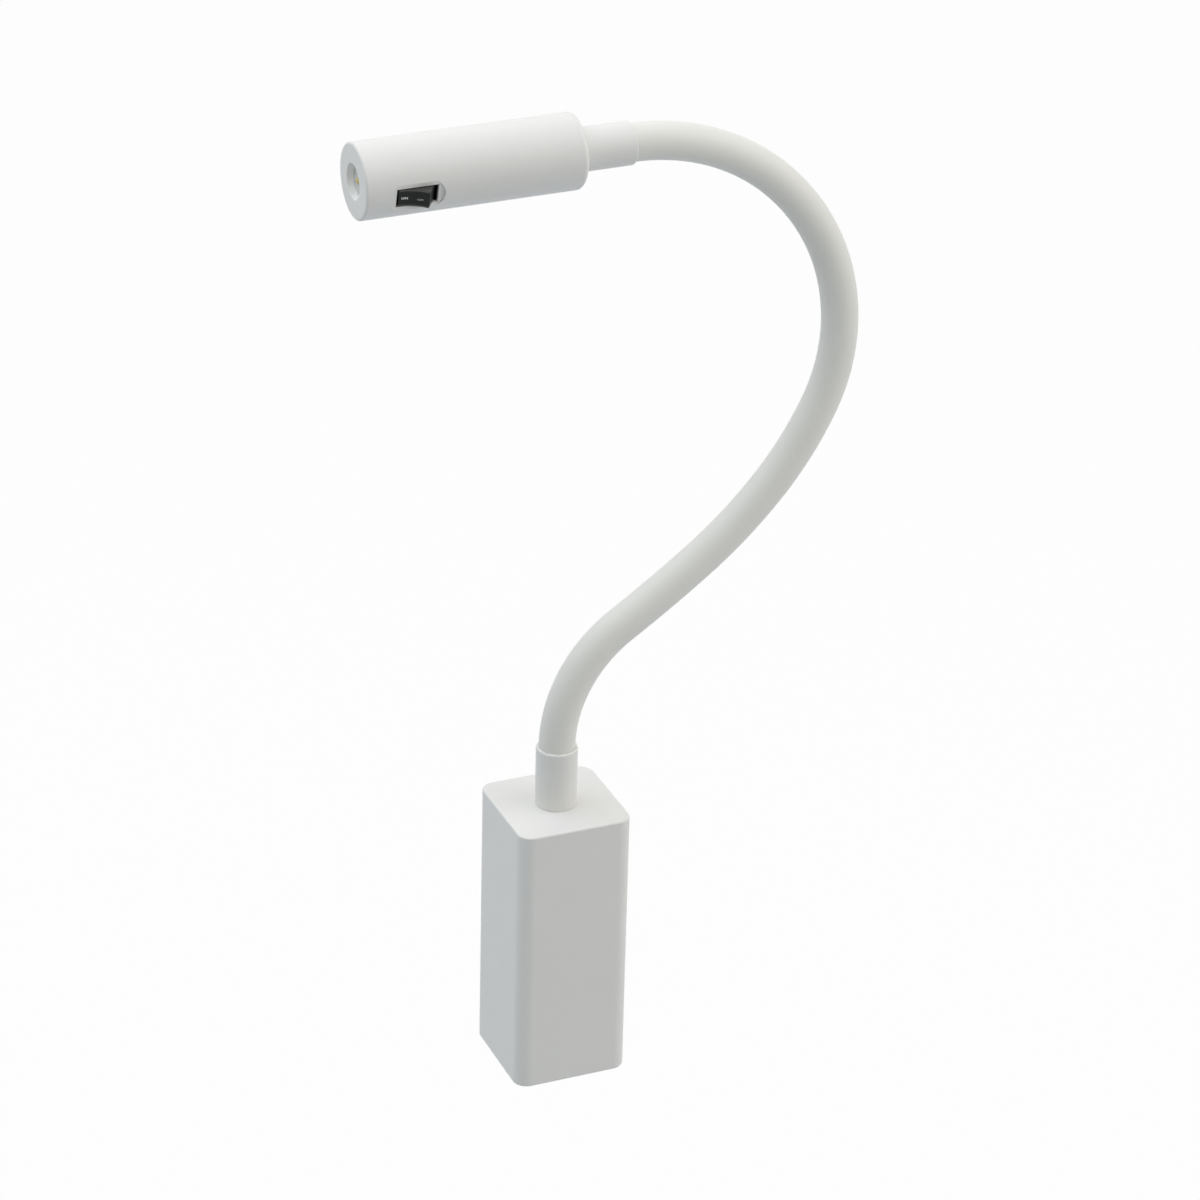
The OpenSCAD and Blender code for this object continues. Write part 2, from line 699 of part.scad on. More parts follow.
// Moulded lens: a low crown in the light opening, a flange in its seat on the board, a hole for the chip
module lens() color([0.85, 0.9, 0.92]) at_head() translate([0, 0, board_z]) rotate_extrude() difference() {
    union() {
        square([lens_d / 2, optic_depth]);
        crowned_outline(aperture_d / 2 - loose, optic_depth, lens_crown);
    }
    translate([0, -over]) square([chip_d / 2 + chip_gap, optic_depth + lens_crown + 2 * over]);
}

// Half outline of a disc from y = 0 to y = h, with a spherical crown on it
module crowned_outline(r, h, crown) {
    ball = (r * r + crown * crown) / (2 * crown);
    square([r, h]);
    intersection() {
        translate([0, h + crown - ball]) circle(ball);
        square([r, h + crown]);
    }
}

module led_chip() color([0.95, 0.8, 0.25]) at_head() translate([0, 0, board_z])
    rotate_extrude() crowned_outline(chip_d / 2, chip_t, chip_dome);

module led_board() color([0.9, 0.92, 0.9]) at_head() translate([0, 0, sink_z]) difference() {
    cylinder(r = head_bore_r - loose, h = board_t);
    lead_holes(board_t);
}

// Two holes for leads through a disc of thickness t
module lead_holes(t) {
    for (side = [-1, 1]) translate([side * wire_hole_x, 0, -over])
        cylinder(r = head_lead_d / 2 + loose, h = t + 2 * over);
}

module heat_sink() color([0.75, 0.76, 0.78]) at_head() translate([0, 0, sink_z - sink_t]) difference() {
    cylinder(r = head_bore_r - close, h = sink_t);
    lead_holes(sink_t);
}

// The open case that carries the rocker, seated behind the shell's lip
module switch_case() color(black) at_head() at_switch() difference() {
    translate([0, 0, case_foot]) linear_extrude(case_depth) square([case_w, case_l], center = true);
    translate([0, 0, case_foot + case_floor]) linear_extrude(case_depth)
        square([opening_w, opening_l], center = true);
    translate([-case_w, 0, flat_h - pivot_depth]) rotate([0, 90, 0])
        cylinder(r = pin_d / 2 + close, h = 2 * case_w);
}

module switch_terminals() color(brass) at_head() at_switch() for (y = terminal_places)
    translate([0, y, terminal_foot]) linear_extrude(terminal_len)
        square([terminal_w, terminal_t], center = true);

// The rocker leans to the front, with its pivot pins in the walls of the case
module switch_rocker() color(black) at_head() at_switch() translate([0, 0, flat_h - pivot_depth])
    rotate([-rocker_lean, 0, 0]) {
        rotate([90, 0, 90]) translate([0, 0, -rocker_w / 2]) linear_extrude(rocker_w) rocker_outline();
        rotate([0, 90, 0]) cylinder(d = pin_d, h = opening_w + case_wall, center = true);
    }

// Side of the rocker about its pivot: its slanting ends stand upright when pressed
module rocker_outline() {
    hollow_r = (rocker_half * rocker_half + rocker_dip * rocker_dip) / (2 * rocker_dip);
    foot = rocker_half / 2;
    difference() {
        polygon([[-rocker_half, rocker_rise], [-rocker_reach, 0], [-foot, -rocker_root],
                 [foot, -rocker_root], [rocker_reach, 0], [rocker_half, rocker_rise]]);
        translate([0, rocker_rise - rocker_dip + hollow_r]) circle(hollow_r, $fn = 256);
    }
}

// Leads from the neck's cable to the switch and from the switch through the heat sink to the board
module head_leads() color([0.8, 0.15, 0.12]) at_head() {
    slack = [0, 0, 8];
    short_slack = [0, 0, 4];
    under = terminal_foot - head_lead_d / 2 - close;
    rear = switch_point([0, terminal_places[0], under]);
    front = switch_point([0, terminal_places[1], under]);
    board = [-wire_hole_x, 0, sink_z - close];
    lead(lead_path([0, 0, head_nipple_end + close], slack, rear, -slack), head_lead_d, switch_way([1, 0, 0]));
    lead(concat(lead_path(front, short_slack, board - [0, 0, sink_t], -short_slack), [board]),
         head_lead_d, cross(slack, board - front));
}

// Points and directions of the switch in the head's own frame
function switch_way(v) =
    [v[0] * cos(switch_turn) - v[2] * sin(switch_turn),
     -v[2] * cos(switch_turn) - v[0] * sin(switch_turn),
     v[1]];
function switch_point(p) = switch_way(p) + [0, 0, switch_z];

base_housing();
wall_bracket();
lock_screw();
cable_bush();
terminal_block();
terminal_screws();
bracket_screws();
led_driver();
live_lead();
neutral_lead();
earth_lead();
output_lead();
base_collar();
base_nipple();
base_washer();
base_nut();
for (i = [0:last]) {
    neck_sleeve(i);
    neck_core(i);
    neck_cable(i);
}
head_collar();
head_nipple();
head_nut();
head_end_cap();
head_shell();
lens();
led_chip();
led_board();
heat_sink();
head_leads();
switch_case();
switch_terminals();
switch_rocker();
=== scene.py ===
import json
import bpy
import numpy as np
from mathutils import Matrix, Vector


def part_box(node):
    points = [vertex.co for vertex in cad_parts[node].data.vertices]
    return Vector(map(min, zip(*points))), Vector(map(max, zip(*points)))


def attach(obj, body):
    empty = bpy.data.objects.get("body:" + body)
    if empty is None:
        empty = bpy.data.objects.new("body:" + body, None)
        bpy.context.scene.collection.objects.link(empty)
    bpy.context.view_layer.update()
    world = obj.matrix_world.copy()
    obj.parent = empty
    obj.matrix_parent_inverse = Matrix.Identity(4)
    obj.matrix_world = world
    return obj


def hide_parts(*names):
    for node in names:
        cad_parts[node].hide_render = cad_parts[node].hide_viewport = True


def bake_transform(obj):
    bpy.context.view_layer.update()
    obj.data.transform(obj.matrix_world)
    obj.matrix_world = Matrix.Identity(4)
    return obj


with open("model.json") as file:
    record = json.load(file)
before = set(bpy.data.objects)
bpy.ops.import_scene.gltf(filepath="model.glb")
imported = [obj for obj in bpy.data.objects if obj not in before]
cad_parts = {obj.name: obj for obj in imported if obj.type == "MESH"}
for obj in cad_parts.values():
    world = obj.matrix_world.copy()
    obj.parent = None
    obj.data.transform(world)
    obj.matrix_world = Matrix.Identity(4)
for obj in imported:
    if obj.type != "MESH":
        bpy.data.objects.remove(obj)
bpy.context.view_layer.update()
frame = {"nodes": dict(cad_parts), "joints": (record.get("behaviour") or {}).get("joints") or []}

nodes = frame["nodes"]
joints = {joint["name"]: joint for joint in frame["joints"]}


# Wall bracket, its screws, the washer and the nuts
# Bent from sheet steel and screwed to the wall; the housing slips over its tabs and one screw locks it.
# All of it is zinc plated: a bright grey skin with a cloudy mottle and fine lines from rolling.

class Shade:
    """One output of a shader node. Sums and products of shades and numbers add Math nodes."""

    def __init__(self, tree, output=None):
        self.tree = tree
        self.output = output

    def node(self, kind, settings=(), sockets=(), out=0):
        """Adds a node: first its settings, such as an operation, then its sockets' values or links."""
        made = self.tree.nodes.new("ShaderNode" + kind)
        for name, value in dict(settings).items():
            setattr(made, name, value)
        for name, value in dict(sockets).items():
            if isinstance(value, Shade):
                self.tree.links.new(value.output, made.inputs[name])
            else:
                made.inputs[name].default_value = value
        return Shade(self.tree, made.outputs[out])

    def math(self, operation, first, second=0.0):
        """A Math node on one or two shades or numbers."""
        return self.node("Math", {"operation": operation}, {0: first, 1: second})

    def vector_math(self, operation, other, out=0):
        """A Vector Math node on this vector and another one."""
        return self.node("VectorMath", {"operation": operation}, {0: self, 1: other}, out)

    def __add__(self, other):
        return self.math("ADD", self, other)

    def __mul__(self, other):
        return self.math("MULTIPLY", self, other)

    __radd__ = __add__
    __rmul__ = __mul__

    def into(self, socket):
        """Links this output to a socket."""
        self.tree.links.new(self.output, socket)

    def noise(self, size, detail, stretch=(1, 1, 1)):
        """Noise on these coordinates, from 0 to 1, with spots about size metres wide, times stretch."""
        scale = [1 / (size * along) for along in stretch]
        place = self.node("Mapping", {"vector_type": "POINT"}, {"Vector": self, "Scale": scale})
        return self.node("TexNoise", {}, {"Vector": place, "Scale": 1.0, "Detail": detail})

    def mix(self, first, second):
        """The colour that lies between two colours by this share, from 0 to 1."""
        return self.node("Mix", {"data_type": "RGBA"}, {0: self, 6: first, 7: second}, out=2)

    def tint(self, dark, light):
        """The colour between dark and light, each red, green and blue, that this value stands for."""
        return self.mix((*dark, 1), (*light, 1))

    def bump(self, depth, strength):
        """A normal for a relief that is depth metres deep where this value goes from 0 to 1."""
        return self.node("Bump", {}, {"Height": self, "Distance": depth, "Strength": strength})


def new_finish(name, **fixed):
    """A material with one Principled shader, the shader's sockets, and the object's own coordinates."""
    material = bpy.data.materials.new(name)
    material.use_nodes = True
    tree = material.node_tree
    sockets = tree.nodes["Principled BSDF"].inputs
    for socket, value in fixed.items():
        sockets[socket.replace("_", " ")].default_value = value
    return material, sockets, Shade(tree).node("TexCoord", out="Object")


def lay(sockets, **varying):
    """Feeds what changes over the surface into a shader's sockets."""
    for socket, shade in varying.items():
        shade.into(sockets[socket.replace("_", " ")])


def dress(material, *names):
    """Gives CAD nodes a material."""
    for name in names:
        for place in nodes[name].material_slots:
            place.material = material


def zinc_plate():
    """Cloudy grey, with fine lines along the sheet's length."""
    material, sockets, place = new_finish("zinc_plate", Metallic=1.0)
    cloud = place.noise(size=0.004, detail=3.0)
    lines = place.noise(size=0.0003, detail=2.0, stretch=(1, 1, 40))
    lay(sockets,
        Base_Color=(cloud * 0.7 + lines * 0.3).tint(dark=(0.36, 0.37, 0.39), light=(0.64, 0.65, 0.67)),
        Roughness=0.26 + cloud * 0.2,
        Normal=lines.bump(depth=0.00002, strength=0.3))
    return material


dress(zinc_plate(), "wall_bracket", "lock_screw", "bracket_screws", "base_washer", "base_nut", "head_nut")


# Cable bush
# A soft grommet of moulded rubber that keeps the supply cable off the edge of the bracket's hole.
# It is pressed into the hole until the flange on its inner end stops it.

def moulded_rubber():
    """Almost black, dusty in places, with the dull skin of a moulding."""
    material, sockets, place = new_finish("moulded_rubber", Specular_IOR_Level=0.35)
    dust = place.noise(size=0.0025, detail=4.0)
    grain = place.noise(size=0.0002, detail=2.0)
    lay(sockets,
        Base_Color=dust.tint(dark=(0.018, 0.018, 0.018), light=(0.045, 0.044, 0.042)),
        Roughness=0.62 + dust * 0.2,
        Normal=grain.bump(depth=0.00002, strength=0.4))
    return material


dress(moulded_rubber(), "cable_bush")


# Terminal block, its screws, the threaded nipples and the switch's terminals
# The block is moulded from milky nylon and carries brass screws; the nipples are cut from brass tube.
# The switch's terminals are stamped from brass strip.

def milky_nylon():
    """Warm white that lets a little light in, with faint flow clouds."""
    material, sockets, place = new_finish("milky_nylon", Subsurface_Weight=0.15, Subsurface_Scale=0.001)
    flow = place.noise(size=0.006, detail=2.0)
    grain = place.noise(size=0.0003, detail=2.0)
    lay(sockets,
        Base_Color=flow.tint(dark=(0.72, 0.71, 0.66), light=(0.82, 0.81, 0.77)),
        Roughness=0.38 + flow * 0.12,
        Normal=grain.bump(depth=0.00001, strength=0.3))
    return material


def turned_brass():
    """Yellow metal with slight tarnish clouds and fine cutting marks."""
    material, sockets, place = new_finish("turned_brass", Metallic=1.0)
    tarnish = place.noise(size=0.003, detail=3.0)
    marks = place.noise(size=0.00015, detail=1.0, stretch=(12, 12, 1))
    lay(sockets,
        Base_Color=tarnish.tint(dark=(0.55, 0.38, 0.15), light=(0.80, 0.62, 0.30)),
        Roughness=0.24 + tarnish * 0.16,
        Normal=marks.bump(depth=0.00001, strength=0.3))
    return material


dress(milky_nylon(), "terminal_block")
dress(turned_brass(), "terminal_screws", "base_nipple", "head_nipple", "switch_terminals")


# Driver and the insulated leads
# The driver is a sealed plastic case fixed to the inside of the housing's front.
# The leads are soft plastic over copper: brown, blue, green, red and the white ones of the neck.

def moulded_plastic(name, dark, light, rough, grain):
    """A moulding with a fine even grain, whose colour and gloss change a little over 5 millimetres."""
    material, sockets, place = new_finish(name)
    cloud = place.noise(size=0.005, detail=2.0)
    lay(sockets,
        Base_Color=cloud.tint(dark, light),
        Roughness=rough + cloud * 0.1,
        Normal=place.noise(size=0.00018, detail=2.0).bump(depth=grain, strength=0.5))
    return material


driver_plastic = moulded_plastic("driver_plastic", dark=(0.66, 0.66, 0.64), light=(0.72, 0.72, 0.70),
                                 rough=0.45, grain=0.00002)
dress(driver_plastic, "led_driver")

smooth_grain = 0.000005
jackets = {"live_lead": ("brown_jacket", (0.16, 0.07, 0.03), (0.20, 0.09, 0.04)),
           "neutral_lead": ("blue_jacket", (0.03, 0.12, 0.42), (0.05, 0.16, 0.50)),
           "earth_lead": ("green_jacket", (0.12, 0.34, 0.04), (0.17, 0.42, 0.06)),
           "head_leads": ("red_jacket", (0.45, 0.03, 0.02), (0.55, 0.05, 0.04))}
for lead, (name, dark, light) in jackets.items():
    dress(moulded_plastic(name, dark, light, rough=0.30, grain=smooth_grain), lead)

stretches = range(10)
white_jacket = moulded_plastic("white_jacket", dark=(0.74, 0.74, 0.72), light=(0.80, 0.80, 0.78),
                               rough=0.34, grain=smooth_grain)
dress(white_jacket, "output_lead", *[f"neck_cable_{i}" for i in stretches])


# Base housing, collars and the head's end cap
# The housing is a drawn and welded steel box; the collars and the cap are turned from aluminium.
# All have the same matt white powder coat: an even skin with a very fine orange peel.

def powder_coat(name, painted_light_at=None):
    """White, faintly mottled, with an orange peel of a third of a millimetre and a matt sheen.

    Where the function given as the second argument gives 1 for a place and not 0, the coat is painted a
    brighter white: painted light in a shaded recess.
    """
    material, sockets, place = new_finish(name, Specular_IOR_Level=0.4)
    cloud = place.noise(size=0.009, detail=2.0)
    peel = place.noise(size=0.00035, detail=2.0)
    white = (cloud * 0.5 + peel * 0.5).tint(dark=(0.785, 0.785, 0.77), light=(0.825, 0.825, 0.81))
    if painted_light_at:
        # Painted light: the masked places are painted a brighter white than the coat.
        white = painted_light_at(place).mix(white, (0.94, 0.94, 0.93, 1))
    lay(sockets,
        Base_Color=white,
        Roughness=0.44 + peel * 0.14,
        Normal=peel.bump(depth=0.000012, strength=0.5))
    return material


dress(powder_coat("powder_coat"), "base_housing", "base_collar", "head_collar", "head_end_cap")


# Neck core
# A hose of round and three-cornered steel wire, wound together, that keeps the bend it is given.
# It carries the head, and its ends are seated in the two collars.

def wound_steel():
    """Dark spring steel with the shine of drawn wire."""
    material, sockets, place = new_finish("wound_steel", Metallic=1.0)
    oil = place.noise(size=0.003, detail=3.0)
    wires = place.noise(size=0.0008, detail=1.0)
    lay(sockets,
        Base_Color=oil.tint(dark=(0.30, 0.30, 0.31), light=(0.52, 0.52, 0.53)),
        Roughness=0.3 + oil * 0.2,
        Normal=wires.bump(depth=0.0001, strength=0.5))
    return material


dress(wound_steel(), *[f"neck_core_{i}" for i in stretches])


# Neck sleeve
# A smooth matt white tube of soft plastic, drawn over the core from collar to collar.
# It is made in one piece for each bending point, from the middle of a stretch to the middle of the next.

def arc_chain(starts, first_heading):
    """Arcs through the starts, each leaving along the last one's end.

    Gives their headings and turns, in radians, and their lengths. An arc that turns by b leaves its chord
    by b / 2, so b is twice the angle from the heading to the chord, and the arc is longer than the chord
    by (b / 2) / sin(b / 2).
    """
    chords = np.diff(starts, axis=0)
    spans = np.linalg.norm(chords, axis=1)
    slopes = np.unwrap(np.arctan2(chords[:, 2], chords[:, 0]))
    headings = [first_heading]
    for slope in slopes:
        headings.append(2 * slope - headings[-1])
    turns = np.diff(headings)
    return np.array(headings), turns, spans * (turns / 2) / np.sin(turns / 2)


def along_arc(start, heading, turn, length, shares):
    """Points and headings at shares of an arc in the XZ plane.

    A point is start + r (sin h - sin h0, 0, cos h0 - cos h), where h0 is the first heading, h the one at
    the share, and r the length over the turn.
    """
    h = heading + turn * shares
    r = length / turn
    steps = np.stack([np.sin(h) - np.sin(heading), 0 * h, np.cos(heading) - np.cos(h)], axis=1)
    return start + r * steps, h


def tube_grid(points, headings, radius, sides):
    """Rings of a tube: point + radius (cos a (-sin h, 0, cos h) + sin a (0, 1, 0)), for angles a."""
    a = np.linspace(0, 2 * np.pi, sides, endpoint=False)
    up = np.stack([-np.sin(headings), 0 * headings, np.cos(headings)], axis=1)
    across = np.array([0, 1, 0])
    return points[:, None] + radius * (np.cos(a)[:, None] * up[:, None] + np.sin(a)[:, None] * across)


tube_crease = np.radians(40)


def ring_mesh(name, grid, lengths):
    """A mesh of closed rings, each joined to the next and the last to the first.

    Its UV is each corner's length along the tube, in metres, and its share of the way round. Edges that
    bend by more than tube_crease, which are those at the tube's two ends, stay sharp.
    """
    rows, sides = grid.shape[:2]
    r, s = np.meshgrid(np.arange(rows), np.arange(sides), indexing="ij")
    corners = [(r, s), (r, s + 1), (r + 1, s + 1), (r + 1, s)]
    faces = np.stack([(i % rows) * sides + j % sides for i, j in corners], axis=-1).reshape(-1, 4)
    uv = np.stack([np.stack([lengths[i % rows], j / sides], axis=-1) for i, j in corners], axis=-2)
    mesh = bpy.data.meshes.new(name)
    mesh.from_pydata(grid.reshape(-1, 3).tolist(), [], faces.tolist())
    mesh.uv_layers.new(name="along").data.foreach_set("uv", uv.astype(np.float32).ravel())
    mesh.shade_smooth()
    mesh.set_sharp_from_angle(angle=tube_crease)
    return mesh


def new_piece(name, mesh, material):
    """An object at the origin for a finished mesh."""
    mesh.materials.append(material)
    piece = bpy.data.objects.new(name, mesh)
    bpy.context.scene.collection.objects.link(piece)
    return piece


winding_pitch = 0.0021


def soft_sleeve():
    """Matt white with a very fine grain and a faint ripple, where the wound core shows through.

    The ripple is the sine of the length along the tube, with one wave in each winding_pitch.
    """
    material, sockets, place = new_finish("soft_sleeve", Specular_IOR_Level=0.35)
    cloud = place.noise(size=0.012, detail=2.0)
    grain = place.noise(size=0.0003, detail=2.0)
    along = place.node("UVMap", {"uv_map": "along"})
    length = along.node("SeparateXYZ", {}, {"Vector": along})
    ripple = length.math("SINE", length * (2 * np.pi / winding_pitch))
    lay(sockets,
        Base_Color=(cloud * 0.6 + grain * 0.4).tint(dark=(0.785, 0.785, 0.75), light=(0.82, 0.82, 0.785)),
        Roughness=0.47 + cloud * 0.1,
        Normal=(ripple * 0.3 + grain).bump(depth=0.000008, strength=0.5))
    return material


bends = range(1, 10)
collar_low, collar_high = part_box("base_collar")
foot = np.array([(collar_low.x + collar_high.x) / 2, (collar_low.y + collar_high.y) / 2, collar_high.z])
pivots = np.array([joints[f"neck_bend_{i}"]["pos_m"] for i in bends])
starts = np.vstack([foot, pivots])
straight_up = np.pi / 2
headings, turns, lengths = arc_chain(starts, straight_up)
switch_axis = np.array(joints["switch_rock"]["axis"])
head_heading = np.arctan2(switch_axis[0], -switch_axis[2]) % (2 * np.pi)
turns = np.append(turns, head_heading - headings[-1])
half_pitch = lengths[1:].mean() / 2
lengths = np.append(lengths, half_pitch)

sleeve_low, sleeve_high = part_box("neck_sleeve_5")
neck_r = (sleeve_high.y - sleeve_low.y) / 2
sleeve_wall = 0.0005
in_collar = 0.006
ring_step = 0.0008
neck_sides = 96
shares = np.linspace(0, 1, int(half_pitch / ring_step) + 1)
sleeve_finish = soft_sleeve()
passed = 0.0
for i in bends:
    first = shares if i == bends[0] else 0.5 + shares / 2
    second = shares if i == bends[-1] else shares / 2
    before = along_arc(starts[i - 1], headings[i - 1], turns[i - 1], lengths[i - 1], first)
    after = along_arc(starts[i], headings[i], turns[i], lengths[i], second[1:])
    points = np.vstack([before[0], after[0]])
    bearing = np.append(before[1], after[1])
    start, end = points[0], points[-1]
    ways = np.stack([np.cos(bearing), 0 * bearing, np.sin(bearing)], axis=1)
    if i == bends[0]:
        points = np.vstack([points[:1] - in_collar * ways[:1], points])
        bearing = np.append(bearing[:1], bearing)
    if i == bends[-1]:
        points = np.vstack([points, points[-1:] + in_collar * ways[-1:]])
        bearing = np.append(bearing, bearing[-1:])
    run = passed + np.append(0, np.cumsum(np.linalg.norm(np.diff(points, axis=0), axis=1)))
    passed = run[-1]
    outer = tube_grid(points, bearing, neck_r, neck_sides)
    inner = tube_grid(points, bearing, neck_r - sleeve_wall, neck_sides)
    mesh = ring_mesh(f"sleeve_{i}", np.vstack([outer, inner[::-1]]), np.append(run, run[::-1]))
    sleeve = new_piece(f"sleeve_{i}", mesh, sleeve_finish)
    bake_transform(sleeve)
    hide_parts(*[f"neck_sleeve_{k}" for k in ([0, 1] if i == bends[0] else [i])])
neck_end = end


# Head shell
# A cylinder turned from aluminium, with a round light opening in front and a flat milled for the switch.
# It has the same powder coat as the base; the wall of the opening is painted a brighter white, which is
# painted light in that shaded recess.

to_front = np.array([np.cos(head_heading), 0, np.sin(head_heading)])
opening_r = 0.0058
coat_edge = 0.00005


def painted_light_in_opening(place):
    """1 on all that lies within the opening's radius of the head's axis, and 0 beyond it.

    The distance from the axis is the length of (place - neck_end) x to_front. This is the mask of the
    painted light on the opening's wall.
    """
    off_axis = place.vector_math("SUBTRACT", neck_end).vector_math("CROSS_PRODUCT", to_front)
    far = off_axis.node("VectorMath", {"operation": "LENGTH"}, {0: off_axis}, out="Value")
    return far.math("LESS_THAN", far, opening_r + coat_edge)


# The wall of the light opening gets painted light: a brighter white where it lies in shade.
dress(powder_coat("head_coat", painted_light_in_opening), "head_shell")


# Light source: lens, chip, board and heat sink
# A milky ring of moulded acrylic sits behind the opening, with the domed yellow chip in its hole.
# The chip is soldered to a white board, on an aluminium disc that carries the heat into the shell.

def milky_lens():
    """Acrylic with a milky haze, which spreads the light."""
    material, sockets, place = new_finish("milky_lens", Transmission_Weight=0.35, IOR=1.49)
    haze = place.noise(size=0.002, detail=2.0)
    lay(sockets,
        Base_Color=haze.tint(dark=(0.91, 0.92, 0.92), light=(0.95, 0.96, 0.96)),
        Roughness=0.10 + haze * 0.08)
    return material


def bare_aluminium():
    """Turned light metal with fine cutting marks."""
    material, sockets, place = new_finish("bare_aluminium", Metallic=1.0)
    marks = place.noise(size=0.0002, detail=2.0)
    lay(sockets,
        Base_Color=marks.tint(dark=(0.66, 0.67, 0.69), light=(0.80, 0.81, 0.83)),
        Roughness=0.28 + marks * 0.15,
        Normal=marks.bump(depth=0.00001, strength=0.3))
    return material


dress(milky_lens(), "lens")
phosphor = moulded_plastic("phosphor", dark=(0.58, 0.50, 0.17), light=(0.68, 0.60, 0.24),
                           rough=0.55, grain=0.00001)
dress(phosphor, "led_chip")
solder_mask = moulded_plastic("solder_mask", dark=(0.78, 0.79, 0.77), light=(0.84, 0.85, 0.83),
                              rough=0.30, grain=smooth_grain)
dress(solder_mask, "led_board")
dress(bare_aluminium(), "heat_sink")


# Rocker switch
# A miniature switch of black plastic, whose case sits behind the lip of the head's milled flat.
# The rocker is satin black with a hollow top, and the two positions are printed on it in white.

case_black = moulded_plastic("case_black", dark=(0.010, 0.010, 0.011), light=(0.016, 0.016, 0.017),
                             rough=0.45, grain=0.00002)
dress(case_black, "switch_case")

rocker_pivot = np.array(joints["switch_rock"]["pos_m"])
rocker_side = 0.00265
rocker_rim = 0.0001


def satin_rocker():
    """Black moulding whose top is eroded matt, while its two long sides keep the polish of the mould.

    A place is on a long side where its distance from the pivot, along the axis, reaches rocker_side. The
    long sides are also painted a lighter grey than the top: painted light on the sides.
    """
    material, sockets, place = new_finish("satin_rocker", Specular_IOR_Level=0.22, Coat_Roughness=0.18)
    cloud = place.noise(size=0.004, detail=2.0)
    grain = place.noise(size=0.00016, detail=2.0)
    across = place.vector_math("SUBTRACT", rocker_pivot).vector_math("DOT_PRODUCT", switch_axis, "Value")
    far = across.math("ABSOLUTE", across)
    edge = {"From Min": rocker_side - 2 * rocker_rim, "From Max": rocker_side - rocker_rim}
    side = far.node("MapRange", {}, {"Value": far, **edge})
    # A faint random mottle, plus painted light: the long sides are painted a lighter grey than the top.
    mottle_and_painted_side_light = cloud * 0.2 + side * 0.8
    lay(sockets,
        Base_Color=mottle_and_painted_side_light.tint(dark=(0.0070, 0.0078, 0.0088), light=(0.028, 0.0275, 0.026)),
        Roughness=0.42 + cloud * 0.12,
        Coat_Weight=side,
        Normal=grain.bump(depth=0.00002, strength=0.5))
    return material


dress(satin_rocker(), "switch_rocker")

rocker_lean = np.radians(joints["switch_rock"]["range_deg"][1] / 2)
rocker_rise = 0.0054
rocker_dip = 0.0007
pressed_end = 0.0062
rocker_half = (pressed_end - rocker_rise * np.sin(rocker_lean)) / np.cos(rocker_lean)
hollow_r = (rocker_half ** 2 + rocker_dip ** 2) / (2 * rocker_dip)
outwards = np.cross(switch_axis, to_front)
letter_height = 0.8
print_lift = 0.00002


def printed_word(text, spot, size, stroke):
    """A word that reads towards the head's rear: points x, y, z beside the rocker's pivot, and faces.

    The word's own x runs along -y of the rocker, its own y along the pivot's axis, times letter_height.
    The print follows the hollow top, z = rise - dip + r - sqrt(r r - y y), print_lift above it.
    """
    letters = bpy.data.curves.new(text, "FONT")
    letters.body = text
    letters.size = size
    letters.align_x = "CENTER"
    letters.align_y = "CENTER"
    letters.offset = stroke
    holder = bpy.data.objects.new(text, letters)
    mesh = holder.to_mesh()
    flat = np.zeros(3 * len(mesh.vertices), np.float32)
    mesh.vertices.foreach_get("co", flat)
    flat = flat.reshape(-1, 3)
    faces = [list(face.vertices) for face in mesh.polygons]
    holder.to_mesh_clear()
    bpy.data.objects.remove(holder)
    x = spot[0] + letter_height * flat[:, 1]
    y = spot[1] - flat[:, 0]
    z = rocker_rise - rocker_dip + hollow_r - np.sqrt(hollow_r ** 2 - y ** 2) + print_lift
    return np.stack([x, y, z], axis=1), faces


def on_rocker(local):
    """Points beside the pivot, turned by the rocker's lean and put where the switch is."""
    y = local[:, 1] * np.cos(rocker_lean) + local[:, 2] * np.sin(rocker_lean)
    z = local[:, 2] * np.cos(rocker_lean) - local[:, 1] * np.sin(rocker_lean)
    return rocker_pivot + local[:, :1] * switch_axis + y[:, None] * to_front + z[:, None] * outwards


full_print = moulded_plastic("full_print", dark=(0.74, 0.75, 0.74), light=(0.84, 0.85, 0.84),
                             rough=0.5, grain=smooth_grain)
thin_print = moulded_plastic("thin_print", dark=(0.42, 0.43, 0.43), light=(0.54, 0.55, 0.55),
                             rough=0.5, grain=smooth_grain)
words = {"ON": {"spot": (-0.0001, 0.00285), "size": 0.00132, "stroke": 0.00005},
         "OFF": {"spot": (-0.0005, -0.0020), "size": 0.00115, "stroke": 0.00001}}
inks = {"ON": full_print, "OFF": thin_print}
for word, lettering in words.items():
    local, faces = printed_word(word, **lettering)
    mesh = bpy.data.meshes.new(f"mark_{word.lower()}")
    mesh.from_pydata(on_rocker(local).tolist(), [], faces)
    mark = new_piece(mesh.name, mesh, inks[word])
    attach(mark, "rocker")


# Floor
# A plain painted studio floor, well below the light, in pale grey.
# The camera, gloss and glass see it almost white, with a trace of the object's shadow.

def looking(tree):
    """1 for a ray of the camera, of gloss or of glass, and 0 for one that only carries light."""
    path = Shade(tree).node("LightPath", out="Is Camera Ray")
    others = path.output.node.outputs
    rays = path + Shade(tree, others["Is Glossy Ray"]) + Shade(tree, others["Is Transmission Ray"])
    return rays.math("MINIMUM", rays, 1.0)


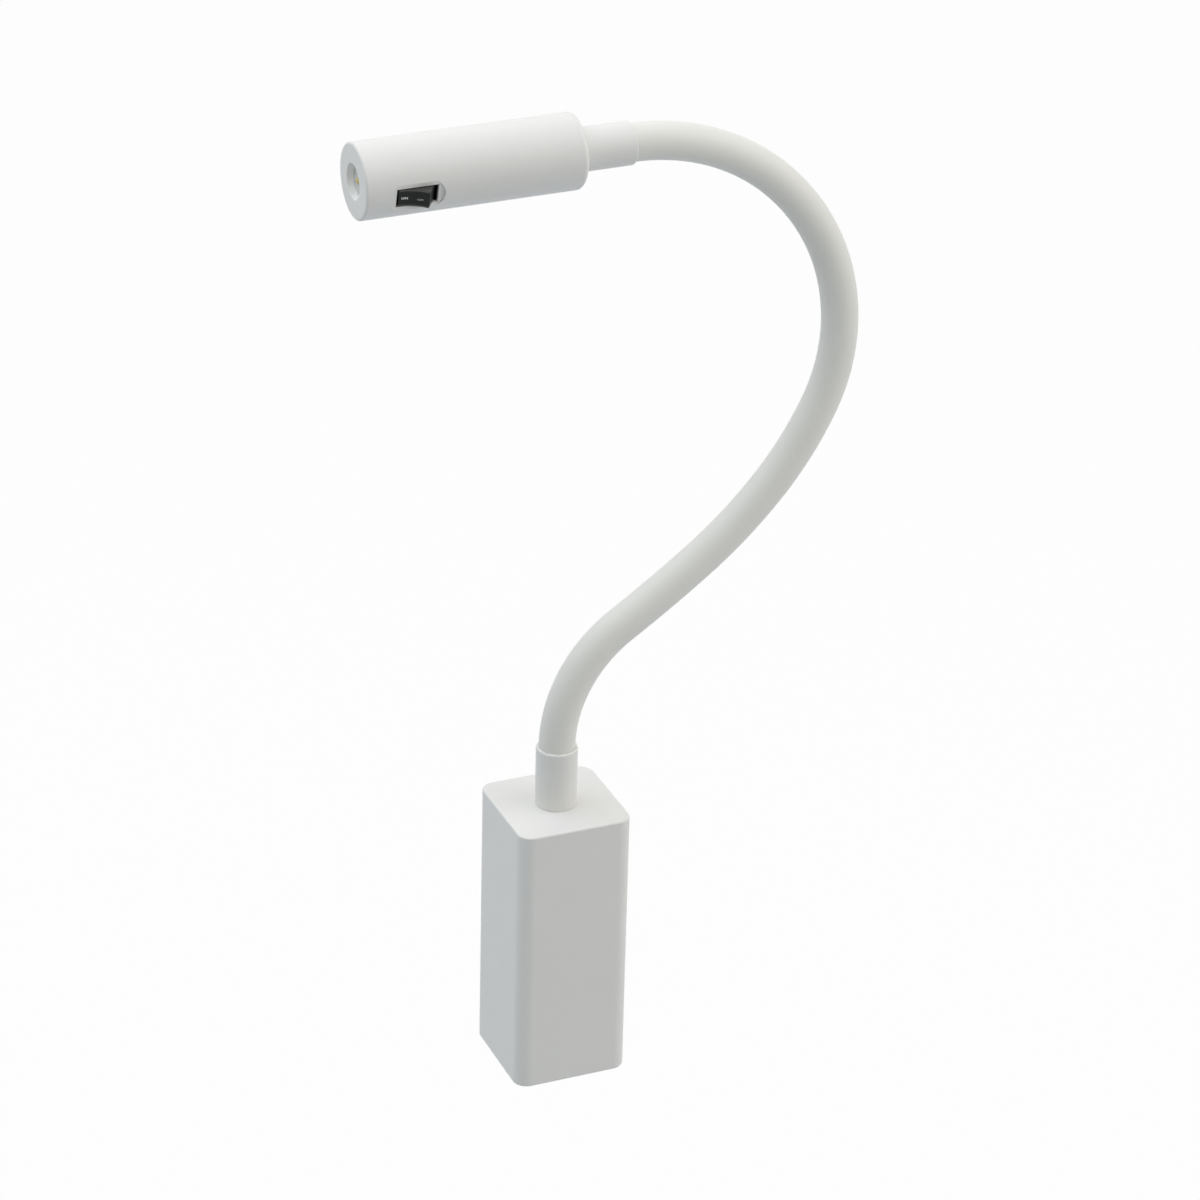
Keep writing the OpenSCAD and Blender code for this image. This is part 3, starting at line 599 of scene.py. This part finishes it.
floor_z = -0.30
floor_half = 6.0
floor_glow = 0.97
floor_ends = [(-1, -1), (1, -1), (1, 1), (-1, 1)]
floor_corners = [(x * floor_half, y * floor_half, floor_z) for x, y in floor_ends]
floor_mesh = bpy.data.meshes.new("floor")
floor_mesh.from_pydata(floor_corners, [], [(0, 1, 2, 3)])
floor_paint, _, _ = new_finish("floor_paint", Base_Color=(0.60, 0.64, 0.70, 1), Roughness=0.9)
tree = floor_paint.node_tree
matt = Shade(tree, tree.nodes["Principled BSDF"].outputs["BSDF"])
glow = matt.node("Emission", {}, {"Color": (1, 1, 1, 1), "Strength": 1.0})
painted = matt.node("MixShader", {}, {0: looking(tree) * floor_glow, 1: matt, 2: glow})
painted.into(tree.nodes["Material Output"].inputs["Surface"])
floor = new_piece("floor", floor_mesh, floor_paint)


# Surround and lamps
# The surround lights the object with a weak warm white, and is seen as white.
# Five large square soft lamps stand round the object, four of them high up and one lower, at its right.

world = bpy.data.worlds.new("studio")
bpy.context.scene.world = world
world.use_nodes = True
sky = world.node_tree
seen = looking(sky)
around = seen.node("Background", {}, {"Color": (1.0, 0.983, 0.9, 1), "Strength": 0.24})
white = seen.node("Background", {}, {"Color": (1, 1, 1, 1), "Strength": 0.995})
mixed = seen.node("MixShader", {}, {0: seen, 1: around, 2: white})
mixed.into(sky.nodes["World Output"].inputs["Surface"])

lamp_aim = (0.0, -0.02, 0.12)
lamp_size = 2.0
lamps = {"front_lamp": ((0.906, -0.543, 1.46), 13.4, (0.89, 0.905, 1.0)),
         "right_lamp": ((1.422, -0.841, 0.56), 9.8, (1.0, 0.94, 0.80)),
         "left_lamp": ((-1.011, -0.291, 1.46), 7.8, (0.975, 1.0, 0.83)),
         "side_lamp": ((-0.906, 0.503, 1.46), 14.2, (0.725, 0.79, 1.0)),
         "back_lamp": ((0.0, 1.027, 1.46), 7.2, (1.0, 0.94, 0.75))}
for name, (place, power, colour) in lamps.items():
    lamp = bpy.data.lights.new(name, "AREA")
    lamp.size = lamp_size
    lamp.energy = power
    lamp.color = colour
    holder = bpy.data.objects.new(name, lamp)
    bpy.context.scene.collection.objects.link(holder)
    holder.location = place
    holder.rotation_euler = (Vector(lamp_aim) - Vector(place)).to_track_quat("-Z", "Y").to_euler()


# Camera
# It stands where the photograph was taken from: in front, to the left and above, with a long lens.
# Its turn, tilt and roll are angles from a level view along the y axis.

camera_yaw = np.radians(-23.358)
camera_pitch = np.radians(27.353)
camera_roll = np.radians(1.507)
camera_place = (-0.49271, -1.19363, 0.78340)
level = np.cos(camera_pitch)
right = np.array([np.cos(camera_yaw), np.sin(camera_yaw), 0])
ahead = np.array([-np.sin(camera_yaw) * level, np.cos(camera_yaw) * level, -np.sin(camera_pitch)])
up = np.cross(right, ahead)
x_axis = np.cos(camera_roll) * right + np.sin(camera_roll) * up
y_axis = np.cos(camera_roll) * up - np.sin(camera_roll) * right
long_lens = bpy.data.cameras.new("photo_camera")
long_lens.sensor_width = 36
long_lens.lens = 132
camera = bpy.data.objects.new("photo_camera", long_lens)
bpy.context.scene.collection.objects.link(camera)
turned = Matrix(np.stack([x_axis, y_axis, -ahead], axis=1)).to_4x4()
camera.matrix_world = Matrix.Translation(camera_place) @ turned
bpy.context.scene.camera = camera
bpy.context.scene.view_settings.view_transform = "Standard"
